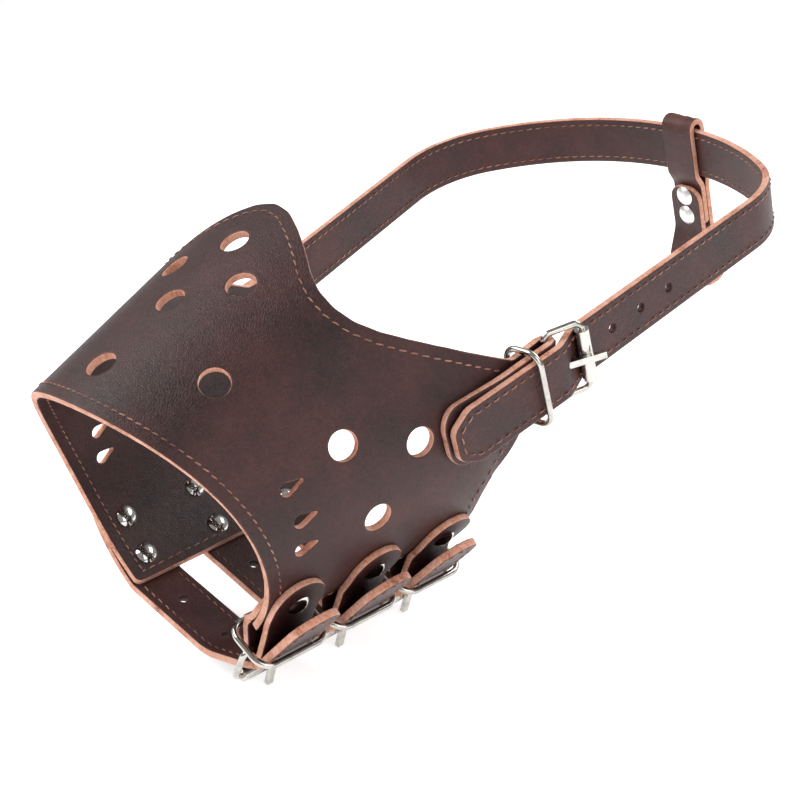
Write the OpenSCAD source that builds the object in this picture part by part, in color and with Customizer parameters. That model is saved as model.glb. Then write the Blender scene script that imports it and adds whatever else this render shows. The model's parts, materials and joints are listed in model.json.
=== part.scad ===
// Leather basket muzzle: one curved nose panel, a buckled neck strap with a collar loop,
// and three buckled chin straps. Millimetres. The nose points along -Y and the dog's left is +X.

/* [Nose panel] */
// Outer radius of the panel cone at its reference point
cone_r = 54.3; // [53:0.1:56]
// Half angle of the panel cone
cone_angle = 11; // [10.5:0.5:11.5]
// How far the cone axis tips up towards the neck
panel_tilt = 15; // [14:0.5:16]
// Thickness of the panel leather
panel_t = 2.8; // [2.4:0.1:3]
// Diameter of the round air holes
air_hole_d = 10; // [8:0.5:11]

/* [Neck strap] */
// Width of the neck strap
neck_w = 20; // [18:0.5:21]
// Thickness of the neck strap, two plies sewn together
strap_t = 2.8; // [2.4:0.1:3]
// Radius of the neck strap round the back of the neck
nape_r = 110; // [108:1:112]
// Pitch of the adjusting holes in the neck strap
hole_pitch = 15.3; // [14:0.1:16]
// Diameter of the adjusting holes
strap_hole_d = 3.2; // [2.5:0.1:4]

/* [Chin straps] */
// Width of each chin strap
chin_w = 20; // [18:0.5:21]
// Distance from one chin strap to the next
chin_pitch = 32; // [32:0.5:36]
// Thickness of the leather that holds each chin buckle
tab_t = 2.5; // [2:0.1:2.6]

/* [Hardware] */
// Diameter of the buckle and keeper wire
wire_d = 2.3; // [2:0.1:2.4]
// Distance from a buckle's base bar to its roller
buckle_l = 14; // [13.8:0.1:14.5]
// Outer width of a buckle frame
buckle_w = 28; // [27:0.5:29]
// Outer diameter of a roller
roller_d = 5; // [4.6:0.1:5.2]
// Head diameter of the panel rivets
rivet_head_d = 8; // [7:0.5:9]
// How far a prong lifts off its roller, in degrees
prong_lift = 8; // [4:1:8]

/* [Collar loop] */
// Width of the leather strip of the collar loop
loop_w = 16; // [14:0.5:18]
// Thickness of the leather strip of the collar loop
loop_t = 2.5; // [2:0.1:2.6]
// Angle of the loop round the neck strap, towards the dog's left
loop_at = 9; // [-10:1:14]

/* [Hidden] */
$fn = 64;
gap = 0.05;
fit = 0.3;
// How far the straight runs of a band reach into its bends
lap = 0.05;
shift = [1.6, -78.9, 15.2];

// Panel frame: X is the dog's left, Y runs back along the cone axis, Z is up from the axis.
panel_at = [0, -50, 48.8];
slope = tan(cone_angle);
skirt_s = 80;
tail_s = 115;

wire_r = wire_d / 2;
roller_r = roller_d / 2;
half_bar = buckle_w / 2 - wire_r;
corner_r = 2.8;
roller_l = 2 * (half_bar - corner_r) - 0.4;
fold_r = wire_r + 0.35;
prong_t = 1.8;
prong_w = 2.4;
prong_l = 20;
shank_d = 3;
shank_hole_d = shank_d + 0.1;
// How far a rivet stands off leather that is hollow beneath it
hollow = 0.2;

// Chin buckle, in the plane across the muzzle: x outwards, z up
chin_bar = [36, 4.4];
chin_dip = 118.6;
chin_roller = chin_bar + buckle_l * [cos(chin_dip), -sin(chin_dip)];
chin_stand = fold_r + tab_t + strap_t / 2 + fit;
roller_stand = roller_r + strap_t / 2 + 0.2;
chin_tail_angle = 45;
chin_tail_l = 31;
chin_cross = 180 - chin_dip - asin((chin_stand + roller_stand) / buckle_l);
chin_in_angle = 10;
chin_y = [-36, -36 + chin_pitch, -36 + 2 * chin_pitch];
chin_sag = [10.1, -7.1];
first_hole = 16;
chin_hole_pitch = 24;
// Where a strap leaves the panel's far edge; the edge rises towards the neck
far_edge_x = -28.5;
function chin_edge(y) = [far_edge_x - 1.5, 3.2 + 0.044 * (y - chin_y[0])];
tab_top_z = 31;
// Where the two sides of the fold meet the leaves outside and inside the panel
tab_outer = [44.6, 15.4];
tab_inner = [33.8, 15];
tab_break_z = 14.2;

// Neck buckle, in the plane of the strap: x outwards, y back
bar_x = cone_r + skirt_s * slope + fold_r;
neck_bar = [bar_x, tail_s];
neck_yaw = 26.5;
neck_roller = neck_bar + buckle_l * [sin(neck_yaw), cos(neck_yaw)];
neck_stand = fold_r + panel_t + strap_t / 2 + 0.2;
neck_cross = neck_yaw - asin((neck_stand + roller_stand) / buckle_l);
leaf_lean = 5.4;
run_lean = 4;
far_lean = -8.2;
nape_at = [0, 167];
nape_left = 38;
nape_right = -40;
far_x = -(cone_r + skirt_s * slope + gap + strap_t / 2);
keeper_s = 103.5;

// Unit vector at an angle from +X, and its left normal
function dir(a) = [cos(a), sin(a)];
function left(d) = [-d[1], d[0]];
function unit(v) = v / norm(v);
function turn(a, b) = atan2(a[0] * b[1] - a[1] * b[0], a * b);
// Corner of two lines that both touch a circle of radius d round c, with outward normals n and m
function corner(c, d, n, m) = c + d * (n + m) / (1 + n * m);
// Where two lines meet, each given by a point and an angle
function meet(p, a, q, b) = p + dir(a) * ((q - p) * left(dir(b))) / (dir(a) * left(dir(b)));

// Outer radius of the panel, and its station for a given height of travel y and angle from the top
function panel_r(s) = cone_r + min(s, skirt_s) * slope;
function station(y, a) =
    (y - panel_at[1] + cone_r * cos(a) * sin(panel_tilt))
    / (cos(panel_tilt) - slope * cos(a) * sin(panel_tilt));

// Angle from the top at which the outer face has a given height, above the work's own level
function face_angle(y, z) =
    let (dy = y - panel_at[1], dz = z - panel_at[2])
    acos((dz * cos(panel_tilt) - dy * sin(panel_tilt))
        / panel_r(dy * cos(panel_tilt) + dz * sin(panel_tilt)));

// Leather band along a path in the XY plane, each corner rounded to its own radius
module band(path, radii, t, w) {
    n = len(path);
    for (i = [0 : n - 2]) {
        d = unit(path[i + 1] - path[i]);
        from = i == 0 ? 0 : cut_back(path, radii, i);
        to = norm(path[i + 1] - path[i]) - (i == n - 2 ? 0 : cut_back(path, radii, i + 1));
        if (to - from > 0.01)
            translate(path[i])
                rotate(atan2(d[1], d[0]))
                    translate([from - lap, lap / 5 - t / 2, lap / 5 - w / 2])
                        cube([to - from + 2 * lap, t - lap * 2 / 5, w - lap * 2 / 5]);
    }
    for (i = [1 : n - 2])
        bend(path, radii, i, t, w);
}
function cut_back(path, radii, i) =
    radii[i] * tan(abs(turn(path[i] - path[i - 1], path[i + 1] - path[i])) / 2);
module bend(path, radii, i, t, w) {
    d = unit(path[i] - path[i - 1]);
    e = unit(path[i + 1] - path[i]);
    a = turn(d, e);
    side = a > 0 ? 1 : -1;
    c = path[i] - d * cut_back(path, radii, i) + side * radii[i] * left(d);
    start = side > 0 ? -left(d) : left(e);
    if (abs(a) > 0.01)
        arc_band(c, radii[i], atan2(start[1], start[0]), abs(a), t, w);
}
module arc_band(c, r, start, sweep, t, w) {
    translate(c)
        rotate(start)
            rotate_extrude(angle = sweep)
                translate([r - t / 2, -w / 2])
                    square([t, w]);
}

// Everything built in the panel frame
module on_panel() {
    translate(panel_at)
        rotate([panel_tilt, 0, 0])
            children();
}
// Puts children on the panel's outer face, with Z straight out of the leather
module on_face(s, a) {
    rotate([0, a, 0])
        translate([0, s, panel_r(s)])
            rotate([s < skirt_s ? cone_angle : 0, 0, 0])
                children();
}
// Puts children in the plane across the muzzle: X outwards, Y up, Z forwards
module across(y) {
    translate([0, y, 0])
        rotate([90, 0, 0])
            children();
}

// Shell between two offsets from the panel's outer face
module layer(inner, outer) {
    k = 1 / cos(cone_angle);
    rotate([-90, 0, 0])
        rotate_extrude()
            polygon([
                [panel_r(-30) + inner * k, -30],
                [panel_r(-30) + outer * k, -30],
                [panel_r(skirt_s) + outer * k, skirt_s],
                [panel_r(skirt_s) + outer * k, tail_s],
                [panel_r(skirt_s) + inner * k, tail_s],
                [panel_r(skirt_s) + inner * k, skirt_s]
            ]);
}

// Wire bent into a rounded rectangle in the XY plane, from x = 0 to x = l
module wire_loop(l, half_w, r) {
    for (x = [0, l])
        translate([x, -half_w + r, 0])
            rotate([-90, 0, 0])
                cylinder(r = wire_r, h = 2 * (half_w - r));
    for (y = [-half_w, half_w])
        translate([r, y, 0])
            rotate([0, 90, 0])
                cylinder(r = wire_r, h = l - 2 * r);
    for (x = [0, 1], y = [0, 1])
        translate([x * l, 0, 0])
            mirror([x, 0, 0])
                mirror([0, y, 0])
                    translate([r, r - half_w, 0])
                        rotate(180)
                            rotate_extrude(angle = 90)
                                translate([r, 0])
                                    circle(wire_r);
}

// Buckle pieces: the base bar lies on Y, the roller is at x = buckle_l, and Z is the outside
module buckle_frame() {
    wire_loop(buckle_l, half_bar, corner_r);
}
module buckle_roller() {
    translate([buckle_l, -roller_l / 2, 0])
        rotate([-90, 0, 0])
            difference() {
                cylinder(r = roller_r, h = roller_l);
                translate([0, 0, -1])
                    cylinder(r = wire_r + 0.05, h = roller_l + 2);
            }
}
prong_lean = 8.4;
module prong_bar(grow) {
    rotate([0, -prong_lean, 0])
        translate([0, -prong_w / 2 - grow, prong_seat() - grow])
            cube([prong_l, prong_w + 2 * grow, prong_t + 2 * grow]);
}
function prong_seat() = roller_r + 0.12 - buckle_l * sin(prong_lean);
module buckle_prong() {
    difference() {
        union() {
            prong_bar(0);
            translate([0, -prong_w / 2, 0])
                rotate([-90, 0, 0])
                    cylinder(r = fold_r + 0.8, h = prong_w);
        }
        translate([0, -prong_w, 0])
            rotate([-90, 0, 0])
                cylinder(r = wire_r + 0.05, h = 2 * prong_w);
    }
}
// The room a prong sweeps through a strap
module prong_room() {
    for (lift = [0, prong_lift / 2, prong_lift])
        rotate([0, -lift, 0])
            prong_bar(0.35);
}
// The slot a prong needs in the fold round its base bar
module fold_slot(r) {
    translate([-r, -prong_w / 2 - fit, -r])
        cube([2 * r, prong_w + 2 * fit, 2 * r]);
}

module rivet_dome(d, h) {
    ball = (d * d / 4 + h * h) / (2 * h);
    intersection() {
        translate([0, 0, h - ball])
            sphere(ball);
        cylinder(d = d, h = h);
    }
}
// Rivet through a stack from z = -depth to z = top, domed above and flat below
module rivet(top, depth, d) {
    translate([0, 0, top + gap])
        rivet_dome(d, 1.8);
    translate([0, 0, -depth - gap - 0.1])
        cylinder(d = shank_d, h = depth + top + 2 * gap + 0.4);
    translate([0, 0, -depth - gap - 0.8])
        cylinder(d = d - 1, h = 0.8);
}

// Nose panel
module panel_outline_cuts() {
    // Front edge
    translate([-100, -133, -12])
        rotate([0, 90, 0])
            cylinder(r = 130, h = 200, $fn = 128);
    // Either side of the nose-bridge tongue
    for (side = [0, 1])
        mirror([side, 0, 0])
            translate([0, 0, 52.5])
                linear_extrude(30)
                    difference() {
                        polygon([[0, 57.5], [90, 57.5], [90, 130], [0, 130]]);
                        polygon([[0, 50], [36, 50], [36, 57.5], [9.2, 74.7], [0, 74.7]]);
                        translate([0, 60.8])
                            circle(16.7);
                    }
    // Notches above and below the side tabs
    rotate([90, 0, 90])
        translate([0, 0, -100])
            linear_extrude(200) {
                intersection() {
                    union() {
                        translate([69.5, 50])
                            circle(12);
                        polygon([[62.5, 40.3], [101, 11], [130, 11], [130, 60], [69.5, 62]]);
                    }
                    translate([40, 0])
                        square([100, 53]);
                }
                translate([89.5, -37])
                    circle(8.5);
                polygon([[84.7, -30], [102, -11], [130, -11], [130, -80], [87, -80], [81.2, -39]]);
            }
}
module underside_opening() {
    rotate([90, 0, 0])
        translate([0, 0, -120])
            linear_extrude(260)
                polygon([[0, 60], [far_edge_x, 40], [far_edge_x, -40], [78, -40]]);
}
module air_holes() {
    for (s = [-2.6, 27.7, 57.5])
        air_hole(s, 0);
    for (a = [-1, 1]) {
        air_hole(43.5, 16 * a);
        air_hole(13.5, 36 * a);
        air_hole(34.3, 74 * a);
        air_hole(58.4, 86 * a);
        air_hole(38.1, 102.5 * a);
        for (p = [[14.2, 76], [14.3, 88], [12, 98]])
            teardrop(p[0], p[1] * a);
    }
}
module air_hole(s, a) {
    on_face(s, a)
        translate([0, 0, -8])
            cylinder(d = air_hole_d, h = 16);
}
// Small drop-shaped air hole, its point towards the neck
module teardrop(s, a) {
    on_face(s, a)
        translate([0, 0, -8]) {
            translate([0, -2, 0])
                cylinder(d = 4.4, h = 16);
            translate([-2.15, -1.6, 0])
                linear_extrude(16)
                    polygon([[0, 0], [4.3, 0], [2.15, 6]]);
        }
}
module neck_tab() {
    // Flat end of the left tab and the fold round the buckle bar
    x = neck_bar[0] - fold_r - panel_t / 2;
    difference() {
        union() {
            band([[x, 98], [x, tail_s]], [0, 0], panel_t, neck_w + 2);
            arc_band(neck_bar, fold_r + panel_t / 2, 0, 180, panel_t, neck_w + 2);
        }
        neck_fold_slot();
    }
}
// Levels the curved layer under the flat tab
module neck_tab_underside() {
    translate([0, 98, -15])
        cube([neck_bar[0] - fold_r - panel_t, 30, 30]);
}
module neck_fold_slot() {
    translate([neck_bar[0], tail_s, 0])
        rotate([90, 0, 0])
            fold_slot(5);
}
// The flap that comes back from the fold along the outside of the tab
module neck_flap() {
    flap = neck_bar + [fold_r + panel_t / 2, 0];
    difference() {
        union() {
            band([flap, flap - 34 * [sin(leaf_lean), cos(leaf_lean)]], [0, 0], panel_t, neck_w + 2);
            intersection() {
                layer(gap, panel_t + gap);
                translate([40, 0, 0])
                    rotate([90, 0, 90])
                        linear_extrude(50) {
                            translate([77, 0])
                                circle(neck_w / 2 + 1);
                            translate([77, -neck_w / 2 - 1])
                                square([7, neck_w + 2]);
                        }
            }
        }
        layer(-panel_t, gap);
        neck_fold_slot();
    }
}
module nose_panel() {
    color("saddlebrown")
        translate(shift) {
            difference() {
                on_panel()
                    union() {
                        difference() {
                            layer(-panel_t, 0);
                            panel_outline_cuts();
                            translate([-100, 112, -40])
                                cube([100, 20, 80]);
                            air_holes();
                            neck_tab_underside();
                            neck_fold_slot();
                        }
                        neck_tab();
                        neck_flap();
                    }
                underside_opening();
                chin_rivet_places()
                    translate([0, 0, -8])
                        cylinder(d = shank_hole_d, h = 16);
                on_panel()
                    neck_rivet_places()
                        translate([0, 0, -8])
                            cylinder(d = shank_hole_d, h = 16);
            }
        }
}

// Rivet places: two through each chin strap end and tab, two through the neck strap's far end
module strap_rivet_places() {
    for (y = chin_y, z = [21.4, 9.6])
        on_panel()
            on_face(station(y, face_angle(y, z)), -face_angle(y, z))
                children();
}
module tab_rivet_places() {
    for (y = chin_y, z = [23, 13.6])
        on_panel()
            on_face(station(y, face_angle(y, z)), face_angle(y, z))
                children();
}
module chin_rivet_places() {
    strap_rivet_places()
        children();
    tab_rivet_places()
        children();
}
module neck_rivet_places() {
    for (s = [91, 103])
        translate([far_x, s, 0])
            rotate([0, -90, 0])
                children();
}

// Neck strap
neck_path = [
    neck_bar + [neck_stand * cos(leaf_lean), -neck_stand * sin(leaf_lean)]
        - 39 * [sin(leaf_lean), cos(leaf_lean)],
    corner(neck_bar, neck_stand, dir(-leaf_lean), dir(-neck_cross)),
    corner(neck_roller, -roller_stand, dir(-neck_cross), dir(-run_lean)),
    meet(neck_roller - roller_stand * dir(-run_lean), 90 - run_lean,
        nape_at + nape_r * dir(90 - nape_left), 180 - nape_left),
    corner(nape_at, nape_r, dir(90 - nape_left), dir(90 - nape_right)),
    meet([far_x, 110], 90 - far_lean,
        nape_at + nape_r * dir(90 - nape_right), 180 - nape_right),
    [far_x, 110],
    [far_x, 84]
];
neck_radii = [0, neck_stand, roller_stand, 32, nape_r, 40, 40, 0];
module neck_strap() {
    color("sienna")
        translate(shift)
            on_panel()
                difference() {
                    union() {
                        band(neck_path, neck_radii, strap_t, neck_w);
                        strap_tip();
                    }
                    adjusting_holes();
                    neck_buckle_place()
                        prong_room();
                    neck_rivet_places()
                        translate([0, 0, -8])
                            cylinder(d = shank_hole_d, h = 16);
                }
}
module strap_tip() {
    translate(neck_path[0])
        rotate([0, 90, -leaf_lean])
            translate([0, 0, -strap_t / 2]) {
                cylinder(r = neck_w / 2, h = strap_t);
            }
}
module adjusting_holes() {
    for (i = [0 : 2])
        translate(neck_path[2] + (18 + i * hole_pitch) * dir(90 - run_lean))
            rotate([0, 90, -run_lean])
                translate([0, 0, -strap_t])
                    cylinder(d = strap_hole_d, h = 2 * strap_t);
}

// Neck buckle and keeper
module neck_buckle_place() {
    translate([neck_bar[0], neck_bar[1], 0])
        rotate([90, 0, 90 - neck_yaw])
            children();
}
module neck_buckle_frame() {
    color("silver")
        translate(shift)
            on_panel()
                neck_buckle_place()
                    buckle_frame();
}
module neck_buckle_roller() {
    color("gainsboro")
        translate(shift)
            on_panel()
                neck_buckle_place()
                    buckle_roller();
}
module neck_buckle_prong() {
    color("lightgray")
        translate(shift)
            on_panel()
                neck_buckle_place()
                    buckle_prong();
}
module neck_keeper_ring() {
    back = tail_s - keeper_s;
    inside = neck_bar[0] - fold_r - panel_t - wire_r - 1;
    outside = neck_bar[0] + neck_stand + strap_t / 2 - back * tan(leaf_lean) + wire_r + 0.7;
    color("silver")
        translate(shift)
            on_panel()
                translate([inside, keeper_s, 0])
                    rotate([90, 0, 0])
                        wire_loop(outside - inside, neck_w / 2 + 1 + wire_r + 1.85, 5);
}
module neck_strap_rivets() {
    color("dimgray")
        translate(shift)
            on_panel()
                neck_rivet_places()
                    rivet(strap_t / 2, strap_t / 2 + gap + panel_t + hollow, rivet_head_d);
}

// Collar loop: a strip round the neck strap, riveted below it, with an open loop under the rivets
loop_lay = loop_t + gap;
loop_in = nape_r - strap_t / 2 - 0.4 - loop_t / 2;
loop_out = nape_r + strap_t / 2 + 0.4 + loop_t / 2;
loop_top = neck_w / 2 + 0.6 + (loop_out - loop_in) / 2;
loop_path = [
    [loop_in, -16],
    [loop_in, -36],
    [loop_in - 6, -49],
    [loop_in - 3, -61],
    [loop_in + 2 * loop_lay + 3, -61],
    [loop_in + 2 * loop_lay + 6, -49],
    [loop_in + 2 * loop_lay, -36],
    [loop_in + 2 * loop_lay, -16],
    [loop_out, -11],
    [loop_out, loop_top],
    [loop_in, loop_top],
    [loop_in, -10],
    [loop_in + loop_lay, -15.5],
    [loop_in + loop_lay, -33]
];
top_r = (loop_out - loop_in) / 2;
loop_radii = [0, 8, 8, 5, 5, 8, 8, 4, 4, top_r, top_r, 2, 2, 0];
module collar_place() {
    on_panel()
        translate(nape_at)
            rotate([90, 0, 90 - loop_at])
                children();
}
module collar_rivet_places() {
    for (z = [-20, -29])
        translate([loop_in + loop_lay, z, 0])
            rotate([0, -90, 0])
                children();
}
module collar_loop() {
    color("peru")
        translate(shift)
            collar_place()
                difference() {
                    band(loop_path, loop_radii, loop_t, loop_w);
                    collar_rivet_places()
                        translate([0, 0, -8])
                            cylinder(d = shank_hole_d, h = 16);
                }
}
module collar_loop_rivets() {
    color("white")
        translate(shift)
            collar_place()
                collar_rivet_places()
                    rivet(1.5 * loop_t + gap, 1.5 * loop_t + gap, rivet_head_d + 0.5);
}

// Chin straps
function chin_path(y) = [
    chin_edge(y),
    chin_sag,
    corner(chin_roller, roller_stand, left(dir(chin_in_angle)), left(dir(chin_cross))),
    corner(chin_bar, chin_stand, -left(dir(chin_cross)), -left(dir(chin_tail_angle))),
    chin_bar - chin_stand * left(dir(chin_tail_angle))
        + (chin_tail_l - chin_w / 2) * dir(chin_tail_angle)
];
chin_radii = [0, 25, roller_stand, chin_stand, 0];
module chin_strap(y) {
    color("sienna")
        translate(shift)
            difference() {
                union() {
                    across(y)
                        band(chin_path(y), chin_radii, strap_t, chin_w);
                    far_end(y);
                    across(y)
                        chin_tip();
                }
                chin_buckle_place(y)
                    prong_room();
                chin_holes(y);
                strap_rivet_places()
                    translate([0, 0, -8])
                        cylinder(d = shank_hole_d, h = 16);
            }
}
// The riveted end, bent to lie on the outside of the panel
module far_end(y) {
    intersection() {
        on_panel()
            layer(gap, strap_t + gap);
        translate([-100, y, 0])
            rotate([90, 0, 90])
                linear_extrude(100) {
                    translate([0, 22])
                        circle(chin_w / 2);
                    translate([-chin_w / 2, chin_edge(y)[1] - 0.6])
                        square([chin_w, 22.6 - chin_edge(y)[1]]);
                }
    }
}
module chin_tip() {
    translate(chin_path(0)[4])
        rotate([90, 0, chin_tail_angle])
            translate([0, 0, -strap_t / 2])
                cylinder(r = chin_w / 2, h = strap_t);
}
module chin_holes(y) {
    d = unit(chin_sag - chin_edge(y));
    for (i = [0, 1])
        across(y)
            translate(chin_edge(y) + (first_hole + chin_hole_pitch * i) * d)
                rotate([90, 0, atan2(d[1], d[0])])
                    translate([0, 0, -4])
                        cylinder(d = strap_hole_d, h = 8);
}

// Leather that holds a chin buckle: folded round the base bar and riveted both sides of the panel
module chin_tab(y) {
    color("saddlebrown")
        translate(shift)
            difference() {
                union() {
                    tab_leaf(y, gap, tab_t + gap, tab_break_z, tab_top_z);
                    tab_leaf(y, -panel_t - gap - tab_t, -panel_t - gap, 13.6, 29);
                    across(y)
                        tab_fold();
                }
                chin_buckle_place(y)
                    fold_slot(5.4);
                tab_rivet_places() {
                    translate([0, 0, -8])
                        cylinder(d = shank_hole_d, h = 16);
                    translate([0, 0, tab_t + 1.5 * gap])
                        cylinder(d = rivet_head_d + fit, h = 6);
                    translate([0, 0, -panel_t - tab_t - gap - hollow - 6])
                        cylinder(d = rivet_head_d - 1 + fit, h = 6);
                }
            }
}
module tab_leaf(y, inner, outer, z0, z1) {
    intersection() {
        on_panel()
            layer(inner, outer);
        translate([0, y, 0])
            rotate([90, 0, 90])
                linear_extrude(100)
                    intersection() {
                        union() {
                            translate([0, z1 - chin_w / 2])
                                circle(chin_w / 2);
                            translate([-chin_w / 2, z0])
                                square([chin_w, z1 - chin_w / 2 - z0]);
                        }
                        translate([-chin_w / 2, z0])
                            square([chin_w, z1 - z0]);
                    }
    }
}
module tab_fold() {
    r = fold_r + tab_t / 2;
    arc_band(chin_bar, r, 180, 180, tab_t, chin_w);
    band([chin_bar + [r, 0], tab_outer], [0, 0], tab_t, chin_w);
    band([chin_bar - [r, 0], tab_inner], [0, 0], tab_t, chin_w);
}

// Chin buckles and keepers
module chin_buckle_place(y) {
    translate([chin_bar[0], y, chin_bar[1]])
        rotate([0, chin_dip, 0])
            children();
}
module chin_frame(y) {
    color("silver")
        translate(shift)
            chin_buckle_place(y)
                buckle_frame();
}
module chin_roller(y) {
    color("gainsboro")
        translate(shift)
            chin_buckle_place(y)
                buckle_roller();
}
module chin_prong(y) {
    color("lightgray")
        translate(shift)
            chin_buckle_place(y)
                buckle_prong();
}
keeper_in = [30.4, 12.1];
keeper_out = [47, 3];
module chin_keeper(y) {
    d = keeper_out - keeper_in;
    color("silver")
        translate(shift)
            translate([keeper_in[0], y, keeper_in[1]])
                rotate([0, -atan2(d[1], d[0]), 0])
                    wire_loop(norm(d), chin_w / 2 + wire_r + 2.9, 5.5);
}

module chin_strap_rivets() {
    color("silver")
        translate(shift)
            strap_rivet_places()
                translate([0, 0, -panel_t])
                    mirror([0, 0, 1])
                        rivet(hollow, panel_t + strap_t + gap, rivet_head_d);
}
module chin_tab_rivets() {
    color("dimgray")
        translate(shift)
            tab_rivet_places()
                rivet(tab_t + gap, panel_t + tab_t + gap + hollow, rivet_head_d);
}

nose_panel();
neck_strap();
neck_buckle_frame();
neck_buckle_roller();
neck_buckle_prong();
neck_keeper_ring();
neck_strap_rivets();
collar_loop();
collar_loop_rivets();
chin_strap(chin_y[0]);  // chin_strap_front
chin_strap(chin_y[1]);  // chin_strap_middle
chin_strap(chin_y[2]);  // chin_strap_rear
chin_tab(chin_y[0]);  // chin_tab_front
chin_tab(chin_y[1]);  // chin_tab_middle
chin_tab(chin_y[2]);  // chin_tab_rear
chin_frame(chin_y[0]);  // chin_frame_front
chin_frame(chin_y[1]);  // chin_frame_middle
chin_frame(chin_y[2]);  // chin_frame_rear
chin_roller(chin_y[0]);  // chin_roller_front
chin_roller(chin_y[1]);  // chin_roller_middle
chin_roller(chin_y[2]);  // chin_roller_rear
chin_prong(chin_y[0]);  // chin_prong_front
chin_prong(chin_y[1]);  // chin_prong_middle
chin_prong(chin_y[2]);  // chin_prong_rear
chin_keeper(chin_y[0]);  // chin_keeper_front
chin_keeper(chin_y[1]);  // chin_keeper_middle
chin_keeper(chin_y[2]);  // chin_keeper_rear
chin_strap_rivets();
chin_tab_rivets();
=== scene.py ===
import json
import math

import bpy
import bmesh
import numpy as np
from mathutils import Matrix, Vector
from mathutils.geometry import delaunay_2d_cdt


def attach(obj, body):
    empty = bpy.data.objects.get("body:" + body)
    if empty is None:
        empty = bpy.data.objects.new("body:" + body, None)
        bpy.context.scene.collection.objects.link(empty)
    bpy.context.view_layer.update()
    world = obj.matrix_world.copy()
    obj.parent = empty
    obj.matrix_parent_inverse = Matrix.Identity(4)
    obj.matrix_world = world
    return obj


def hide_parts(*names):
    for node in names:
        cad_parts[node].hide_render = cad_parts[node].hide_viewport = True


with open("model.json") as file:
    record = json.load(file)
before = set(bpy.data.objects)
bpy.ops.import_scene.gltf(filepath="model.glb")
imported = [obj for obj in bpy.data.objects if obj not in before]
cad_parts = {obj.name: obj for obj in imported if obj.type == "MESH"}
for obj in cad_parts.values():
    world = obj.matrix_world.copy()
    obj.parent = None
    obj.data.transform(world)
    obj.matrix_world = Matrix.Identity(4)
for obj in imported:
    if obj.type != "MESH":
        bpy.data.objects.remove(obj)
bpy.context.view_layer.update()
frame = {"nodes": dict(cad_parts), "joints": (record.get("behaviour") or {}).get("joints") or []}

mm = 0.001
joints = {j["name"]: j for j in frame["joints"]}
chinNames = ("front", "middle", "rear")

# The panel's own axes: side is the dog's left, back runs along the cone, up is square to both.
# All sizes below are in millimetres, as in the design, and turn into metres when a point is placed.
side = Vector((1, 0, 0))
up = Vector(joints["collar_loop_slide"]["axis"])
back = Vector(joints["neck_keeper_slide"]["axis"])
napeStation = 167
layGap = 0.05               # between two layers of leather
panelAt = Vector(joints["collar_loop_slide"]["pos_m"]) - back * napeStation * mm


def onPanel(x, s, w):
    return panelAt + (side * x + back * s + up * w) * mm


def inPanel(point):
    d = (point - panelAt) / mm
    return d.dot(side), d.dot(back), d.dot(up)


def unit(a):
    return a / (np.linalg.norm(a) or 1.0)


def leftOf(d):
    return np.array((-d[1], d[0]))


def roundedPath(points, radii, step=0.6):
    # a chain of straights with each corner turned on its own radius, as evenly spaced points
    pts = [np.array(p, float) for p in points]
    out = [pts[0]]
    for i in range(1, len(pts) - 1):
        d, e = unit(pts[i] - pts[i - 1]), unit(pts[i + 1] - pts[i])
        turn = math.atan2(d[0] * e[1] - d[1] * e[0], float(d @ e))
        r = radii[i]
        if abs(turn) < 1e-4 or r <= 0:
            out.append(pts[i])
            continue
        cut = r * math.tan(abs(turn) / 2)
        sign = 1 if turn > 0 else -1
        centre = pts[i] - d * cut + sign * r * leftOf(d)
        n = max(3, int(abs(turn) * r / step) + 2)
        for k in range(n + 1):
            a = turn * k / n
            arm = -sign * leftOf(d) * r
            out.append(centre + np.array((arm[0] * math.cos(a) - arm[1] * math.sin(a),
                                          arm[0] * math.sin(a) + arm[1] * math.cos(a))))
    out.append(pts[-1])
    return np.array(out)


class Line:
    # a polyline read by the distance along it; it runs on straight past both ends
    def __init__(self, pts, zero=0.0):
        keep = [0] + [i for i in range(1, len(pts)) if np.linalg.norm(pts[i] - pts[i - 1]) > 1e-6]
        self.p = np.array([pts[i] for i in keep])
        self.u = np.concatenate(([0], np.cumsum(np.linalg.norm(np.diff(self.p, axis=0), axis=1))))
        self.zero = zero

    @property
    def length(self):
        return self.u[-1]

    def at(self, u):
        u = u + self.zero
        if u <= 0:
            return self.p[0] + unit(self.p[1] - self.p[0]) * u
        if u >= self.u[-1]:
            return self.p[-1] + unit(self.p[-1] - self.p[-2]) * (u - self.u[-1])
        i = min(int(np.searchsorted(self.u, u)), len(self.u) - 1)
        t = (u - self.u[i - 1]) / (self.u[i] - self.u[i - 1])
        return self.p[i - 1] * (1 - t) + self.p[i] * t


def spaced(pts, step, closed=True):
    # the same outline with evenly spaced points
    p = [np.array(q, float) for q in pts]
    if closed:
        p.append(p[0])
    line = Line(np.array(p))
    n = max(6, int(round(line.length / step)))
    return [line.at(line.length * i / n) for i in range(n if closed else n + 1)]


def closedRound(points, radii, step):
    # a closed outline whose corners have their own radii
    n = len(points)
    mid = (np.array(points[0], float) + np.array(points[-1], float)) / 2
    chain = [mid] + [np.array(p, float) for p in points] + [mid]
    return spaced(roundedPath(chain, [0] + list(radii) + [0])[:-1], step)


def circle(u, v, r, n=20, stretch=1.0):
    return [np.array((u + r * stretch * math.cos(math.tau * i / n), v + r * math.sin(math.tau * i / n)))
            for i in range(n)]


def area(loop):
    return sum(a[0] * b[1] - b[0] * a[1] for a, b in zip(loop, loop[1:] + loop[:1])) / 2


def inset(loop, d):
    # moves each point square to the outline; d > 0 goes into a loop that turns left
    n = len(loop)
    out = []
    for i in range(n):
        t = unit(loop[(i + 1) % n] - loop[i - 1])
        out.append(loop[i] + leftOf(t) * d)
    return out


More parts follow.
